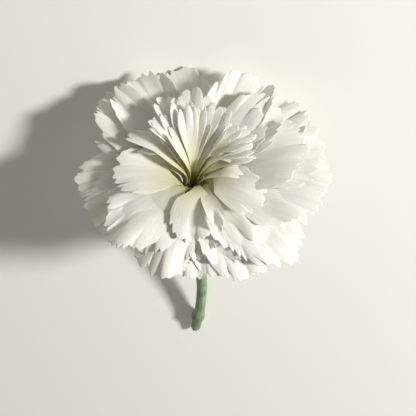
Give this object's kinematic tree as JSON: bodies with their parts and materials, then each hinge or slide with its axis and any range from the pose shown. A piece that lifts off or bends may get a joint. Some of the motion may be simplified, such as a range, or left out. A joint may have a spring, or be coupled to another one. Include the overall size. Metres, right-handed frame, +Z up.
{
  "type": "cut carnation flower",
  "caption": "Cut white double carnation lying on its side: ruffled toothed petals in a green calyx with bracts, on a short stem cut at a slant.",
  "frame": {"origin": "middle of the model's footprint, on the surface that the flower lies on", "axes": "+Z up; +Y along the stem towards its cut end, so the flower faces -Y and a little upwards; +X to the right of someone who looks along +Y"},
  "size_m": [0.098, 0.1268, 0.0639],
  "materials": {
    "petal": "satin",
    "calyx": "satin",
    "bract": "satin",
    "stem": "satin",
    "pistil": "satin"
  },
  "bodies": {
    "root": {"stem": "stem", "calyx": "calyx", "bract_1": "bract", "bract_2": "bract", "bract_3": "bract", "bract_4": "bract", "pistil": "pistil", "guard_petal_01": "petal", "guard_petal_02": "petal", "guard_petal_03": "petal", "guard_petal_04": "petal", "guard_petal_05": "petal", "guard_petal_06": "petal", "guard_petal_07": "petal", "guard_petal_08": "petal", "guard_petal_09": "petal", "guard_petal_10": "petal", "guard_petal_11": "petal", "guard_petal_12": "petal", "guard_petal_13": "petal", "guard_petal_14": "petal", "guard_petal_15": "petal", "outer_petal_01": "petal", "outer_petal_02": "petal", "outer_petal_03": "petal", "outer_petal_04": "petal", "outer_petal_05": "petal", "outer_petal_06": "petal", "outer_petal_07": "petal", "outer_petal_08": "petal", "outer_petal_09": "petal", "outer_petal_10": "petal", "outer_petal_11": "petal", "outer_petal_12": "petal", "middle_petal_01": "petal", "middle_petal_02": "petal", "middle_petal_03": "petal", "middle_petal_04": "petal", "middle_petal_05": "petal", "middle_petal_06": "petal", "middle_petal_07": "petal", "middle_petal_08": "petal", "middle_petal_09": "petal", "inner_petal_01": "petal", "inner_petal_02": "petal", "inner_petal_03": "petal", "inner_petal_04": "petal", "inner_petal_05": "petal", "inner_petal_06": "petal", "inner_petal_07": "petal", "inner_petal_08": "petal", "inner_petal_09": "petal", "heart_petal_01": "petal", "heart_petal_02": "petal", "heart_petal_03": "petal", "heart_petal_04": "petal", "heart_petal_05": "petal", "heart_petal_06": "petal"}
  },
  "joints": []
}
